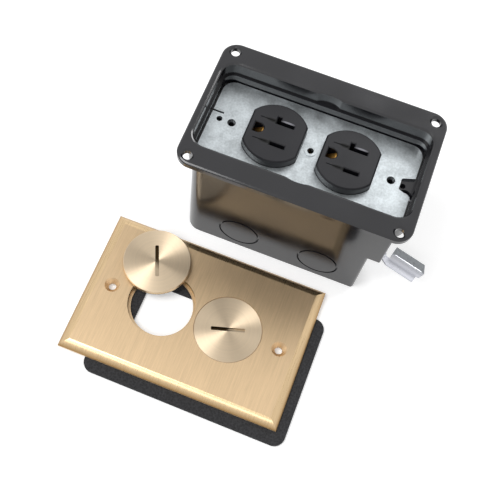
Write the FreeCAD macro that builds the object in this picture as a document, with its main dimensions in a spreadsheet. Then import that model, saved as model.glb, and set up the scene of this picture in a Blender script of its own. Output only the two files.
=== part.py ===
import FreeCAD, Part
import math
import os
import re
import Sketcher

# Floor socket box.  A moulded box with a wide flange holds a duplex receptacle on a steel strap, and a
# swing clamp on a long screw pulls the flange down on the floor.  Beside it, as the kit is laid out
# before it is fitted, lie the foam gasket and the brass cover plate with its two screw-in plugs.
#
# Frame: the origin is on the underside of the box, below the middle of the receptacle.  +X runs along
# the receptacle towards the clamp, +Z is up, and the plate lies on the -Y side.  Millimetres, degrees.

SIZES = {
    # the moulded box
    "box_height": 88.0,
    "wall": 2.8,
    "floor_thickness": 2.9,
    "body_left": 54.0,
    "body_right": 46.3,
    "body_corner": 8.0,
    "end_corner": 2.0,
    "flange_length": 117.0,
    "flange_width": 74.6,
    "flange_thickness": 3.2,
    "flange_corner": 8.0,
    "flange_edge": 0.7,
    "flange_hole_pitch": 105.0,
    "flange_hole_gauge": 64.4,
    "flange_hole_diameter": 4.7,
    "flange_sink_diameter": 6.6,
    "collar_wall": 1.8,
    "collar_depth": 18.0,
    "mouth_depth": 8.0,
    "mouth_corner": 7.0,
    "mouth_edge": 0.4,
    "ledge": 1.0,
    "notch_radius": 20.5,
    "notch_depth": 0.9,
    "strap_depth": 12.6,
    "boss_width": 8.0,
    "boss_reach": 4.0,
    "boss_length": 29.0,
    "screw_hole_diameter": 2.8,
    "knockout_diameter": 22.2,
    "knockout_groove": 1.0,
    "knockout_pitch": 45.4,
    "knockout_height": 15.6,
    # the cheek and the screw block at the clamp's end of the box
    "cheek_end": 54.0,
    "cheek_inner": 13.0,
    "cheek_length": 29.5,
    "block_depth": 8.0,
    "block_back": 4.0,
    # the steel strap
    "strap_length": 105.6,
    "strap_width": 47.1,
    "strap_thickness": 1.5,
    "strap_corner": 6.5,
    "strap_end_clearance": 0.8,
    "strap_side_clearance": 0.55,
    "device_ear": 8.15,
    "device_hole_diameter": 4.3,
    "cover_screw_pitch": 96.2,
    "cover_tap_diameter": 3.0,
    "end_notch_depth": 6.3,
    "end_notch_root": 6.4,
    "end_notch_mouth": 10.8,
    "end_notch_round": 1.2,
    "slit_length": 5.7,
    "slit_width": 1.0,
    "slit_offset": 3.8,
    "eyelet_diameter": 4.8,
    "eyelet_bore": 3.3,
    "eyelet_rim": 6.0,
    "eyelet_rim_height": 0.3,
    "eyelet_length": 4.0,
    # the receptacle
    "outlet_pitch": 38.1,
    "outlet_diameter": 33.4,
    "outlet_flats": 28.1,
    "outlet_rise": 5.1,
    "outlet_edge": 0.7,
    "face_clearance": 0.2,
    "moulding_length": 67.0,
    "moulding_width": 33.0,
    "moulding_corner": 3.0,
    "face_web": 3.5,
    "base_depth": 19.0,
    "base_floor": 4.0,
    "well_corner": 0.6,
    "blade_gauge": 12.7,
    "slot_offset": 3.0,
    "slot_width": 2.0,
    "slot_edge": 0.45,
    "neutral_slot_length": 9.2,
    "hot_slot_length": 7.6,
    "cross_slot_length": 4.2,
    "ground_offset": 8.9,
    "ground_hole_width": 5.6,
    "ground_pocket": 6.6,
    "ground_lip": 1.6,
    "guide_length": 7.7,
    "guide_width": 0.5,
    "guide_depth": 0.4,
    "rivet_end": 3.5,
    "rivet_side": 4.5,
    "rivet_diameter": 3.0,
    "rivet_clearance": 0.1,
    "rivet_head_diameter": 5.2,
    "rivet_head_height": 1.3,
    "rivet_grip": 2.6,
    # its contacts and terminal screws
    "contact_thickness": 0.8,
    "contact_gap": 1.2,
    "contact_clearance": 0.25,
    "leaf_width": 7.0,
    "leaf_height": 13.0,
    "leaf_flare": 0.4,
    "strip_height": 4.4,
    "strip_length": 51.0,
    "terminal_length": 31.0,
    "terminal_height": 12.4,
    "terminal_recess": 2.0,
    "terminal_window": 28.0,
    "terminal_pitch": 20.0,
    "terminal_screw_height": 7.2,
    "terminal_screw_diameter": 3.8,
    "terminal_head_diameter": 7.6,
    "terminal_head_height": 2.2,
    "terminal_shank_length": 3.6,
    "driver_slot_width": 1.2,
    "driver_slot_depth": 1.0,
    "ground_strip_width": 5.0,
    "ground_strip_drop": 11.0,
    "ground_pin_gap": 4.4,
    "ground_tongue_rise": 7.4,
    "ground_tab_height": 8.6,
    "ground_tab_reach": 13.5,
    "ground_screw_offset": 9.0,
    # the swing clamp
    "nut_wall_gap": 0.5,
    "clamp_offset": 5.2,
    "clamp_screw_diameter": 4.1,
    "clamp_screw_length": 61.0,
    "clamp_head_diameter": 6.8,
    "clamp_head_height": 3.2,
    "clamp_head_seat": 4.0,
    "head_clearance": 0.25,
    "running_clearance": 0.05,
    "retainer_rim": 0.2,
    "retainer_thickness": 0.9,
    "retainer_drop": 0.3,
    "screw_tail": 6.5,
    "arm_angle": -14.5,
    "arm_thickness": 1.6,
    "arm_step": 3.0,
    "arm_front": 7.0,
    "arm_fold": 2.6,
    "arm_back": 3.8,
    "arm_web_run": 1.7,
    "arm_strip_start": 9.5,
    "arm_lower_end": 26.6,
    "arm_upper_end": 29.4,
    "arm_end_chamfer": 2.2,
    "hub_rim": 0.2,
    "collar_diameter": 6.0,
    "nut_width": 7.2,
    "nut_height": 3.2,
    "nut_rim_diameter": 7.0,
    "nut_rim_height": 0.5,
    "nut_play": 0.1,
    # the gasket
    "gasket_length": 112.5,
    "gasket_width": 73.5,
    "gasket_thickness": 1.6,
    "gasket_band": 15.2,
    "gasket_corner": 6.0,
    "gasket_inner_corner": 3.0,
    "gasket_hole_diameter": 4.5,
    "gasket_across": -17.0,
    "gasket_along": -89.2,
    "gasket_turn": -0.4,
    # the cover plate
    "plate_length": 122.7,
    "plate_width": 82.0,
    "plate_thickness": 4.4,
    "plate_rim": 1.2,
    "plate_bevel": 4.8,
    "plate_across": -27.9,
    "plate_along": -78.0,
    "plate_hole_diameter": 4.2,
    "plate_sink_diameter": 8.2,
    # the plugs
    "plug_diameter": 36.9,
    "plug_thickness": 3.0,
    "plug_ledge": 0.9,
    "plug_ledge_width": 1.6,
    "plug_edge": 0.35,
    "plug_slot_length": 18.3,
    "plug_slot_width": 2.0,
    "plug_slot_depth": 1.5,
    "plug_slot_corner": 0.6,
    "seal_thickness": 0.5,
    "seal_width": 2.4,
    "thread_clearance": 0.05,
    "right_plug_turn": 17.0,
    "left_plug_turn": 113.0,
    "left_plug_across": -58.45,
    "left_plug_along": -57.1,
}

# Places that several sub-parts share, as expressions of the sizes above.
STRAP_TOP = "(box_height - strap_depth)"
STRAP_SEAT = "(box_height - strap_depth - strap_thickness)"
COLLAR_FOOT = "(box_height - collar_depth)"
POCKET_HALF_LENGTH = "(strap_length / 2 + strap_end_clearance)"
POCKET_HALF_WIDTH = "(strap_width / 2 + strap_side_clearance)"
BODY_HALF_WIDTH = "(strap_width / 2 + strap_side_clearance + wall)"
COLLAR_HALF_LENGTH = "(strap_length / 2 + strap_end_clearance + ledge + collar_wall)"
BASE_TOP = "(box_height - strap_depth - strap_thickness - face_web)"
HEAD_SEAT = "(box_height - strap_depth - strap_thickness - clamp_head_seat)"
BLOCK_FOOT = "(box_height - collar_depth - block_depth)"
CLAMP_REACH = "(body_right + nut_width / 2 + nut_wall_gap)"
HUB_RADIUS = "(nut_width / 2 + hub_rim)"
ARM_HEIGHT = "(%s - clamp_screw_length + screw_tail)" % HEAD_SEAT
PLATE_TOP = "(gasket_thickness + plate_thickness)"
CAVITY_FLOOR = "(box_height - strap_depth - strap_thickness - face_web - base_depth + base_floor)"
DEVICE_SCREW = "(moulding_length / 2 + device_ear)"
RIVET_ALONG = "(moulding_length / 2 - rivet_end)"
RIVET_ACROSS = "(moulding_width / 2 - rivet_side)"
GROUND_END = "(outlet_pitch / 2 - ground_offset + ground_pin_gap / 2 + contact_thickness)"
GROUND_TAB = "(-moulding_length / 2 - contact_clearance)"
FRONT, REAR = "-1", "1"

WORD = re.compile(r"[a-z][a-z_]*[a-z]")
V = FreeCAD.Vector
UP = V(0, 0, 1)

doc = FreeCAD.newDocument("floor_socket_box")
sheet = doc.addObject("Spreadsheet::Sheet", "Sizes")
for row, (size_name, size) in enumerate(SIZES.items(), 1):
    sheet.set("A%d" % row, size_name)
    sheet.set("B%d" % row, str(size))
    sheet.setAlias("B%d" % row, size_name)
doc.recompute()


def cells(text):
    """The expression with each size name pointing at its cell of the sheet."""
    return WORD.sub(lambda found: "Sizes." + found[0] if found[0] in SIZES else found[0], text)


def number(text):
    """What the expression comes to with the sizes as they stand."""
    return float(sheet.evalExpression(text))


def new_body(label):
    body = doc.addObject("PartDesign::Body", label)
    body.Label = label
    return body


def put(body, x="0", y="0", z="0", turn="0"):
    """Stands a body at a place, turned about the vertical."""
    body.Placement = FreeCAD.Placement(V(), FreeCAD.Rotation(UP, 1))
    for way, text in zip("xyz", (x, y, z)):
        body.setExpression("Placement.Base." + way, cells(text))
    body.setExpression("Placement.Rotation.Angle", cells(turn))
    return body


def sketch(body, label, plane="XY", lift="0"):
    """A sketch on one of the body's own origin planes, lifted along that plane's normal."""
    drawing = body.newObject("Sketcher::SketchObject", label)
    base = next(face for face in body.Origin.OriginFeatures if face.Role == plane + "_Plane")
    drawing.AttachmentSupport = [(base, "")]
    drawing.MapMode = "FlatFace"
    drawing.setExpression("AttachmentOffset.Base.z", cells(lift))
    return drawing


def constrain(drawing, kind, *where, by):
    """A dimension that follows an expression of the sizes."""
    index = drawing.addConstraint(Sketcher.Constraint(kind, *where, number(by)))
    drawing.setExpression("Constraints[%d]" % index, cells(by))


def pin(drawing, shape, point, x, y):
    """Ties a point of a shape to a place measured from the sketch's origin."""
    constrain(drawing, "DistanceX", -1, 1, shape, point, by=x)
    constrain(drawing, "DistanceY", -1, 1, shape, point, by=y)


def circle(drawing, x, y, diameter):
    ring = drawing.addGeometry(Part.Circle(V(number(x), number(y)), UP, number(diameter) / 2))
    pin(drawing, ring, 3, x, y)
    constrain(drawing, "Diameter", ring, by=diameter)


def line(drawing, start, end):
    return drawing.addGeometry(Part.LineSegment(start, end))


def arc(drawing, centre, radius, start, end):
    """An arc that runs anticlockwise from the direction of start to that of end."""
    first = math.atan2(start.y - centre.y, start.x - centre.x)
    last = math.atan2(end.y - centre.y, end.x - centre.x)
    if last < first:
        last += 2 * math.pi
    return drawing.addGeometry(Part.ArcOfCircle(Part.Circle(centre, UP, radius), first, last))


def outline(drawing, corners):
    """A closed outline through corners (x, y) or (x, y, radius), which an arc rounds off."""
    places = [V(number(corner[0]), number(corner[1])) for corner in corners]
    rounds = [number(corner[2]) if len(corner) == 3 else 0 for corner in corners]
    count = len(corners)
    turns = []
    for index, here in enumerate(places):
        back = (places[index - 1] - here).normalize()
        on = (places[(index + 1) % count] - here).normalize()
        half = back.getAngle(on) / 2
        trim = rounds[index] / math.tan(half)
        centre = here + (back + on).normalize() * (rounds[index] / math.sin(half))
        turns.append((here + back * trim, here + on * trim, centre, back.cross(on).z < 0))
    lines = [line(drawing, turns[i][1], turns[(i + 1) % count][0]) for i in range(count)]
    for index, (arrive, leave, centre, leftward) in enumerate(turns):
        before, after = lines[index - 1], lines[index]
        if not rounds[index]:
            drawing.addConstraint(Sketcher.Constraint("Coincident", before, 2, after, 1))
            pin(drawing, after, 1, *corners[index])
            continue
        ends = (arrive, leave) if leftward else (leave, arrive)
        bend = arc(drawing, centre, rounds[index], *ends)
        first, last = (1, 2) if leftward else (2, 1)
        drawing.addConstraint(Sketcher.Constraint("Tangent", before, 2, bend, first))
        drawing.addConstraint(Sketcher.Constraint("Tangent", after, 1, bend, last))
        constrain(drawing, "Radius", bend, by=corners[index][2])
        corner = drawing.addGeometry(Part.Point(places[index]), True)
        pin(drawing, corner, 1, *corners[index][:2])
        drawing.addConstraint(Sketcher.Constraint("PointOnObject", corner, 1, before))
        drawing.addConstraint(Sketcher.Constraint("PointOnObject", corner, 1, after))


def rectangle(drawing, left, right, low, high, corner=None):
    """An upright rectangle, with all its corners rounded if a radius is given."""
    tail = (corner,) if corner else ()
    outline(drawing, [(left, low) + tail, (right, low) + tail, (right, high) + tail, (left, high) + tail])


def centred(drawing, length, width, corner=None, x="0", y="0"):
    rectangle(
        drawing,
        "%s - (%s) / 2" % (x, length),
        "%s + (%s) / 2" % (x, length),
        "%s - (%s) / 2" % (y, width),
        "%s + (%s) / 2" % (y, width),
        corner,
    )


def flatted_circle(drawing, x, diameter, flats):
    """A circle about (x, 0) with two flats square to X."""
    radius, half = number(diameter) / 2, number(flats) / 2
    centre, rise = V(number(x), 0), math.sqrt(radius**2 - half**2)
    right_up, left_up = centre + V(half, rise), centre + V(-half, rise)
    left_down, right_down = centre + V(-half, -rise), centre + V(half, -rise)
    top = arc(drawing, centre, radius, right_up, left_up)
    bottom = arc(drawing, centre, radius, left_down, right_down)
    left = line(drawing, left_up, left_down)
    right = line(drawing, right_down, right_up)
    pin(drawing, top, 3, x, "0")
    constrain(drawing, "Radius", top, by="(%s) / 2" % diameter)
    for rule in (
        ("Coincident", bottom, 3, top, 3),
        ("Equal", top, bottom),
        ("Coincident", top, 2, left, 1),
        ("Coincident", left, 2, bottom, 1),
        ("Coincident", bottom, 2, right, 1),
        ("Coincident", right, 2, top, 1),
        ("Vertical", left),
        ("Vertical", right),
    ):
        drawing.addConstraint(Sketcher.Constraint(*rule))
    constrain(drawing, "DistanceX", -1, 1, left, 1, by="%s - (%s) / 2" % (x, flats))
    constrain(drawing, "DistanceX", -1, 1, right, 1, by="%s + (%s) / 2" % (x, flats))


def arch(drawing, x, width):
    """The outline of an earth pin's hole about (x, 0): flat on the left, round on the right."""
    half = number(width) / 2
    centre = V(number(x), 0)
    crown = arc(drawing, centre, half, centre + V(0, -half), centre + V(0, half))
    upper = line(drawing, centre + V(0, half), centre + V(-0.8 * half, half))
    flat = line(drawing, centre + V(-0.8 * half, half), centre + V(-0.8 * half, -half))
    lower = line(drawing, centre + V(-0.8 * half, -half), centre + V(0, -half))
    pin(drawing, crown, 3, x, "0")
    constrain(drawing, "Radius", crown, by="(%s) / 2" % width)
    for rule in (
        ("Tangent", crown, 2, upper, 1),
        ("Tangent", lower, 2, crown, 1),
        ("Coincident", upper, 2, flat, 1),
        ("Coincident", flat, 2, lower, 1),
        ("Horizontal", upper),
        ("Horizontal", lower),
        ("Vertical", flat),
    ):
        drawing.addConstraint(Sketcher.Constraint(*rule))
    constrain(drawing, "DistanceX", -1, 1, flat, 1, by="%s - 0.8 * (%s) / 2" % (x, width))


def feature(body, kind, name, profile, length=None, down=False):
    """A pad or pocket of a profile, through everything if it has no length."""
    made = body.newObject("PartDesign::" + kind, name)
    made.Profile = profile
    made.Reversed = down
    if length:
        made.setExpression("Length", cells(length))
    else:
        made.Type = "ThroughAll"
    return made


def pad(body, name, profile, length, down=False):
    return feature(body, "Pad", name, profile, length, down)


def pocket(body, name, profile, length=None, up=False):
    """A pocket cut against the sketch's normal, or along it if up."""
    doc.recompute()
    before = body.Tip.Shape.Volume
    made = feature(body, "Pocket", name, profile, length, up)
    doc.recompute()
    if not made.Shape.Volume < before - 1e-6:
        raise RuntimeError("%s cuts nothing" % name)
    return made


def revolve(body, name, profile):
    """A turned shape: the profile of an XZ sketch, once round the upright axis."""
    made = body.newObject("PartDesign::Revolution", name)
    made.Profile = profile
    made.ReferenceAxis = (profile, ["V_Axis"])
    made.Angle = 360
    return made


def soften(body, kind, name, size, test):
    """A fillet or chamfer on the edges of the body so far that pass the test."""
    doc.recompute()
    base = body.Tip
    chosen = ["Edge%d" % i for i, edge in enumerate(base.Shape.Edges, 1) if test(edge)]
    if not chosen:
        raise RuntimeError("%s finds no edge" % name)
    made = body.newObject("PartDesign::" + kind, name)
    made.Base = (base, chosen)
    made.setExpression("Radius" if kind == "Fillet" else "Size", cells(size))
    return made


def level(edge, height):
    """Does the edge lie flat at this height?"""
    box = edge.BoundBox
    return abs(box.ZMin - height) < 1e-4 and abs(box.ZMax - height) < 1e-4


def outside(edge, half_length, half_width):
    """Does all of the edge lie outside a rectangle about the upright axis?"""
    points = edge.discretize(5)
    return all(abs(point.x) > half_length or abs(point.y) > half_width for point in points)


def mirror(body, name, original, plane):
    """The same feature again, mirrored in one of the body's origin planes."""
    doc.recompute()
    made = body.newObject("PartDesign::Mirrored", name)
    made.Originals = [original]
    face = next(one for one in body.Origin.OriginFeatures if one.Role == plane + "_Plane")
    made.MirrorPlane = (face, [""])
    body.Tip = made
    return made


def sink_holes(body, name, profile, diameter, sink, angle):
    """Countersunk holes through the body at the circles of a sketch on its top face."""
    doc.recompute()
    made = body.newObject("PartDesign::Hole", name)
    made.Profile = profile
    doc.recompute()
    made.ThreadType = "None"
    made.DepthType = "ThroughAll"
    made.HoleCutType = "Countersink"
    made.HoleCutCustomValues = True
    made.setExpression("Diameter", cells(diameter))
    made.setExpression("HoleCutDiameter", cells(sink))
    made.HoleCutCountersinkAngle = angle
    return made


def box_body():
    """The moulded box: flange, collar, deep body with a cavity, and the clamp's end."""
    body = new_body("box_body")
    half = BODY_HALF_WIDTH

    shell = sketch(body, "shell_outline")
    outline(
        shell,
        [
            ("-body_left", "-" + half, "body_corner"),
            ("body_right", "-" + half, "end_corner"),
            ("body_right", half, "end_corner"),
            ("-body_left", half, "body_corner"),
        ],
    )
    pad(body, "shell", shell, COLLAR_FOOT + " + 1")

    cheek = sketch(body, "cheek_outline", lift=COLLAR_FOOT + " - cheek_length")
    outline(
        cheek,
        [
            ("body_right - 2 * wall", "-" + half),
            ("cheek_end", "-" + half, "body_corner"),
            ("cheek_end", "-cheek_inner"),
            ("body_right - 2 * wall", "-cheek_inner"),
        ],
    )
    pad(body, "cheek", cheek, "cheek_length + 1")

    block = sketch(body, "screw_block_outline", lift=BLOCK_FOOT)
    rectangle(
        block, "body_right - wall", COLLAR_HALF_LENGTH, "-cheek_inner - 1", "block_back"
    )
    pad(body, "screw_block", block, "block_depth + 1")

    collar = sketch(body, "collar_outline", lift=COLLAR_FOOT)
    centred(collar, "2 * " + COLLAR_HALF_LENGTH, "2 * " + half, "body_corner")
    pad(body, "collar", collar, "collar_depth - flange_thickness + 0.5")

    flange = sketch(body, "flange_outline", lift="box_height - flange_thickness")
    centred(flange, "flange_length", "flange_width", "flange_corner")
    pad(body, "flange", flange, "flange_thickness")

    cavity = sketch(body, "cavity_outline", lift=STRAP_SEAT)
    outline(
        cavity,
        [
            ("wall - body_left", "-" + POCKET_HALF_WIDTH, "body_corner - wall"),
            ("body_right - wall", "-" + POCKET_HALF_WIDTH, "end_corner / 2"),
            ("body_right - wall", POCKET_HALF_WIDTH, "end_corner / 2"),
            ("wall - body_left", POCKET_HALF_WIDTH, "body_corner - wall"),
        ],
    )
    pocket(body, "cavity", cavity, STRAP_SEAT + " - floor_thickness")

    bosses = sketch(body, "boss_outlines", lift=STRAP_SEAT + " - boss_length")
    tip = "(%s - boss_reach)" % DEVICE_SCREW
    for sign, root in (("-", "(body_left - wall / 2)"), ("", "(body_right - wall / 2)")):
        outline(
            bosses,
            [
                (sign + tip, "-boss_width / 2", "boss_width / 3"),
                (sign + tip, "boss_width / 2", "boss_width / 3"),
                (sign + root, "boss_width / 2"),
                (sign + root, "-boss_width / 2"),
            ],
        )
    pad(body, "bosses", bosses, "boss_length")

    mouth = sketch(body, "mouth_outline", lift="box_height")
    centred(
        mouth,
        "2 * %s + 2 * ledge" % POCKET_HALF_LENGTH,
        "2 * %s + 2 * ledge" % POCKET_HALF_WIDTH,
        "mouth_corner",
    )
    pocket(body, "mouth", mouth, "mouth_depth")

    seat = sketch(body, "strap_pocket_outline", lift="box_height - mouth_depth")
    centred(seat, "2 * " + POCKET_HALF_LENGTH, "2 * " + POCKET_HALF_WIDTH, "mouth_corner - ledge")
    pocket(body, "strap_pocket", seat, "strap_depth + strap_thickness - mouth_depth")

    notch = sketch(body, "thumb_notch_outline", lift="box_height")
    circle(
        notch,
        "0",
        "%s + ledge + notch_depth - notch_radius" % POCKET_HALF_WIDTH,
        "2 * notch_radius",
    )
    thumb = pocket(body, "thumb_notch", notch, "mouth_depth")
    mirror(body, "thumb_notches", thumb, "XZ")

    taps = sketch(body, "screw_hole_centres", lift=STRAP_SEAT)
    for sign in ("-", ""):
        circle(taps, sign + DEVICE_SCREW, "0", "screw_hole_diameter")
        circle(taps, sign + "cover_screw_pitch / 2", "0", "screw_hole_diameter")
    pocket(body, "screw_holes", taps, "clamp_head_seat + block_depth + 1")

    head = sketch(body, "clamp_head_pocket_outline", lift="box_height - mouth_depth")
    circle(head, CLAMP_REACH, "-clamp_offset", "clamp_head_diameter + 2 * head_clearance")
    pocket(body, "clamp_head_pocket", head, "box_height - mouth_depth - " + HEAD_SEAT)
    bore = sketch(body, "clamp_bore_outline", lift=HEAD_SEAT)
    circle(bore, CLAMP_REACH, "-clamp_offset", "clamp_screw_diameter + 2 * running_clearance")
    pocket(body, "clamp_bore", bore)

    rings = sketch(body, "knockout_rings", "XZ", lift=half)
    for sign in ("-", ""):
        for edge in ("-", "+"):
            circle(
                rings,
                sign + "knockout_pitch / 2",
                "knockout_height",
                "knockout_diameter %s knockout_groove" % edge,
            )
    front = pocket(body, "knockouts", rings, "knockout_groove")
    mirror(body, "rear_knockouts", front, "XZ")

    top = number("box_height")
    width, length = number("flange_width"), number("flange_length")
    soften(
        body,
        "Chamfer",
        "flange_bevel",
        "flange_edge",
        lambda edge: level(edge, top) and outside(edge, 0.45 * length, 0.45 * width),
    )
    soften(
        body,
        "Chamfer",
        "mouth_bevel",
        "mouth_edge",
        lambda edge: level(edge, top) and not outside(edge, 0.49 * length, 0.49 * width),
    )

    holes = sketch(body, "flange_hole_centres", lift="box_height")
    for across in ("-", ""):
        for along in ("-", ""):
            circle(
                holes,
                across + "flange_hole_pitch / 2",
                along + "flange_hole_gauge / 2",
                "flange_hole_diameter",
            )
    sink_holes(body, "flange_holes", holes, "flange_hole_diameter", "flange_sink_diameter", 90)
    return body


def mounting_strap():
    """The receptacle's steel strap, with openings for both outlets and its screw holes."""
    body = new_body("mounting_strap")
    plan = sketch(body, "strap_outline")
    end, side = "strap_length / 2", "strap_width / 2"
    outline(
        plan,
        [
            ("-" + end, "-" + side, "strap_corner"),
            (end, "-" + side, "strap_corner"),
            (end, "-end_notch_mouth / 2", "end_notch_round / 2"),
            (end + " - end_notch_depth", "-end_notch_root / 2", "end_notch_round"),
            (end + " - end_notch_depth", "end_notch_root / 2", "end_notch_round"),
            (end, "end_notch_mouth / 2", "end_notch_round / 2"),
            (end, side, "strap_corner"),
            ("-" + end, side, "strap_corner"),
            ("-" + end, "slit_offset + slit_width / 2"),
            ("slit_length - " + end, "slit_offset + slit_width / 2"),
            ("slit_length - " + end, "slit_offset - slit_width / 2"),
            ("-" + end, "slit_offset - slit_width / 2"),
        ],
    )
    for sign in ("-", ""):
        flatted_circle(
            plan,
            sign + "outlet_pitch / 2",
            "outlet_diameter + 2 * face_clearance",
            "outlet_flats + 2 * face_clearance",
        )
        circle(plan, sign + DEVICE_SCREW, "0", "device_hole_diameter")
    circle(plan, "0", "0", "eyelet_diameter")
    circle(plan, "-cover_screw_pitch / 2", "0", "cover_tap_diameter")
    pad(body, "strap", plan, "strap_thickness")
    return put(body, z=STRAP_SEAT)


def centre_eyelet():
    """The threaded eyelet in the middle of the strap, for a wall plate's screw."""
    body = new_body("centre_eyelet")
    half = sketch(body, "eyelet_profile", "XZ")
    outline(
        half,
        [
            ("eyelet_bore / 2", "eyelet_rim_height - eyelet_length"),
            ("eyelet_diameter / 2", "eyelet_rim_height - eyelet_length"),
            ("eyelet_diameter / 2", "0"),
            ("eyelet_rim / 2", "0"),
            ("eyelet_rim / 2", "eyelet_rim_height"),
            ("eyelet_bore / 2", "eyelet_rim_height"),
        ],
    )
    revolve(body, "eyelet", half)
    return put(body, z=STRAP_TOP)


def receptacle_face():
    """The front moulding: a web under the strap and two outlets that stand up through it."""
    body = new_body("receptacle_face")
    top = "(outlet_rise + strap_thickness)"

    web = sketch(body, "web_outline", lift="-face_web")
    centred(web, "moulding_length", "moulding_width", "moulding_corner")
    pad(body, "web", web, "face_web")
    outlets = sketch(body, "outlet_outlines", lift="-face_web / 2")
    for sign in ("-", ""):
        flatted_circle(outlets, sign + "outlet_pitch / 2", "outlet_diameter", "outlet_flats")
    pad(body, "outlets", outlets, top + " + face_web / 2")
    height = number(top)
    soften(body, "Chamfer", "outlet_bevel", "outlet_edge", lambda edge: level(edge, height))

    slots = sketch(body, "slot_outlines", lift=top)
    for sign in ("-", ""):
        x = sign + "outlet_pitch / 2"
        slot = x + " + slot_offset"
        centred(slots, "hot_slot_length", "slot_width", None, slot, "-blade_gauge / 2")
        left = "%s - neutral_slot_length / 2" % slot
        low = "blade_gauge / 2 - slot_width / 2"
        outline(
            slots,
            [
                (left, low),
                ("%s + neutral_slot_length / 2" % slot, low),
                ("%s + neutral_slot_length / 2" % slot, "blade_gauge / 2 + slot_width / 2"),
                (left + " + slot_width", "blade_gauge / 2 + slot_width / 2"),
                (left + " + slot_width", low + " + cross_slot_length"),
                (left, low + " + cross_slot_length"),
            ],
        )
    pocket(body, "slots", slots)
    grounds = sketch(body, "ground_holes", lift=top)
    for sign in ("-", ""):
        arch(grounds, sign + "outlet_pitch / 2 - ground_offset", "ground_hole_width")
    pocket(body, "ground_entries", grounds)
    bounds = number("outlet_flats") / 2 - 1
    pitch = number("outlet_pitch") / 2
    soften(
        body,
        "Chamfer",
        "slot_chamfer",
        "slot_edge",
        lambda edge: level(edge, height)
        and abs(abs(edge.BoundBox.Center.x) - pitch) < bounds
        and abs(edge.BoundBox.Center.y) < number("blade_gauge / 2 + cross_slot_length")
        and edge.Length < bounds,
    )

    guides = sketch(body, "guide_grooves", lift=top)
    for sign in ("-", ""):
        for side in ("-", ""):
            end = sign + "outlet_pitch / 2 + slot_offset - neutral_slot_length / 2 - slot_edge"
            rectangle(
                guides,
                end + " - guide_length",
                end + " - 0.4",
                side + "blade_gauge / 2 - guide_width / 2",
                side + "blade_gauge / 2 + guide_width / 2",
            )
    pocket(body, "guides", guides, "guide_depth")

    under = sketch(body, "ground_pockets", lift="-face_web")
    for sign in ("-", ""):
        centred(
            under,
            "ground_pocket",
            "ground_pocket",
            None,
            sign + "outlet_pitch / 2 - ground_offset",
        )
    pocket(body, "ground_wells", under, top + " + face_web - ground_lip", up=True)

    fixings = sketch(body, "web_holes", lift="-face_web")
    circle(fixings, "0", "0", "eyelet_diameter + 2 * face_clearance")
    pocket(body, "eyelet_hole", fixings, "face_web", up=True)
    rivets = sketch(body, "rivet_holes", lift="-face_web")
    rivet_circles(rivets)
    pocket(body, "rivet_seats", rivets, "rivet_grip + rivet_clearance", up=True)
    return put(body, z=STRAP_SEAT)


def rivet_circles(drawing):
    """The four places of the receptacle's rivets."""
    for across in ("-", ""):
        for along in ("-", ""):
            circle(
                drawing,
                across + RIVET_ALONG,
                along + RIVET_ACROSS,
                "rivet_diameter + 2 * rivet_clearance",
            )


def receptacle_base():
    """The back moulding, open at the top for the contacts and at the sides for the terminals."""
    body = new_body("receptacle_base")
    block = sketch(body, "base_outline", lift="-base_depth")
    centred(block, "moulding_length", "moulding_width", "moulding_corner")
    pad(body, "base", block, "base_depth")

    outer = "(blade_gauge / 2 + contact_gap / 2 + contact_thickness + leaf_flare + contact_clearance)"
    inner = "(blade_gauge / 2 - contact_gap / 2 - contact_thickness - leaf_flare - contact_clearance)"
    recess = "(moulding_width / 2 - terminal_recess)"
    half_strip = "(strip_length / 2 + contact_clearance)"
    wells = sketch(body, "contact_wells")
    windows = sketch(body, "terminal_windows")
    sides = sketch(body, "terminal_recesses")
    for sign in ("-", ""):
        near, far = ordered(sign, inner, outer)
        rectangle(wells, "-" + half_strip, half_strip, near, far, "well_corner")
        near, far = ordered(sign, outer + " - 0.1", recess + " + 0.1")
        rectangle(windows, "-terminal_window / 2", "terminal_window / 2", near, far)
        near, far = ordered(sign, recess, "moulding_width / 2 + 1")
        half_plate = "(terminal_length / 2 + contact_clearance)"
        rectangle(sides, "-" + half_plate, half_plate, near, far)
    depth = "base_depth - base_floor"
    pocket(body, "wells", wells, depth)
    pocket(body, "windows", windows, depth)
    pocket(body, "recesses", sides, depth)

    channel = sketch(body, "ground_channel_outline")
    rectangle(
        channel,
        "-moulding_length / 2 - 1",
        GROUND_END + " + contact_clearance",
        "-ground_strip_width / 2 - contact_clearance",
        "ground_strip_width / 2 + contact_clearance",
    )
    pocket(body, "ground_channel", channel, "ground_strip_drop + contact_thickness")
    rivets = sketch(body, "rivet_bores")
    rivet_circles(rivets)
    pocket(body, "rivet_holes", rivets)
    return put(body, z=BASE_TOP)


def ordered(sign, near, far):
    """Two distances from the middle, as the low and high edge on the side that sign gives."""
    return (near, far) if sign == "" else ("-(%s)" % far, "-(%s)" % near)


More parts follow.
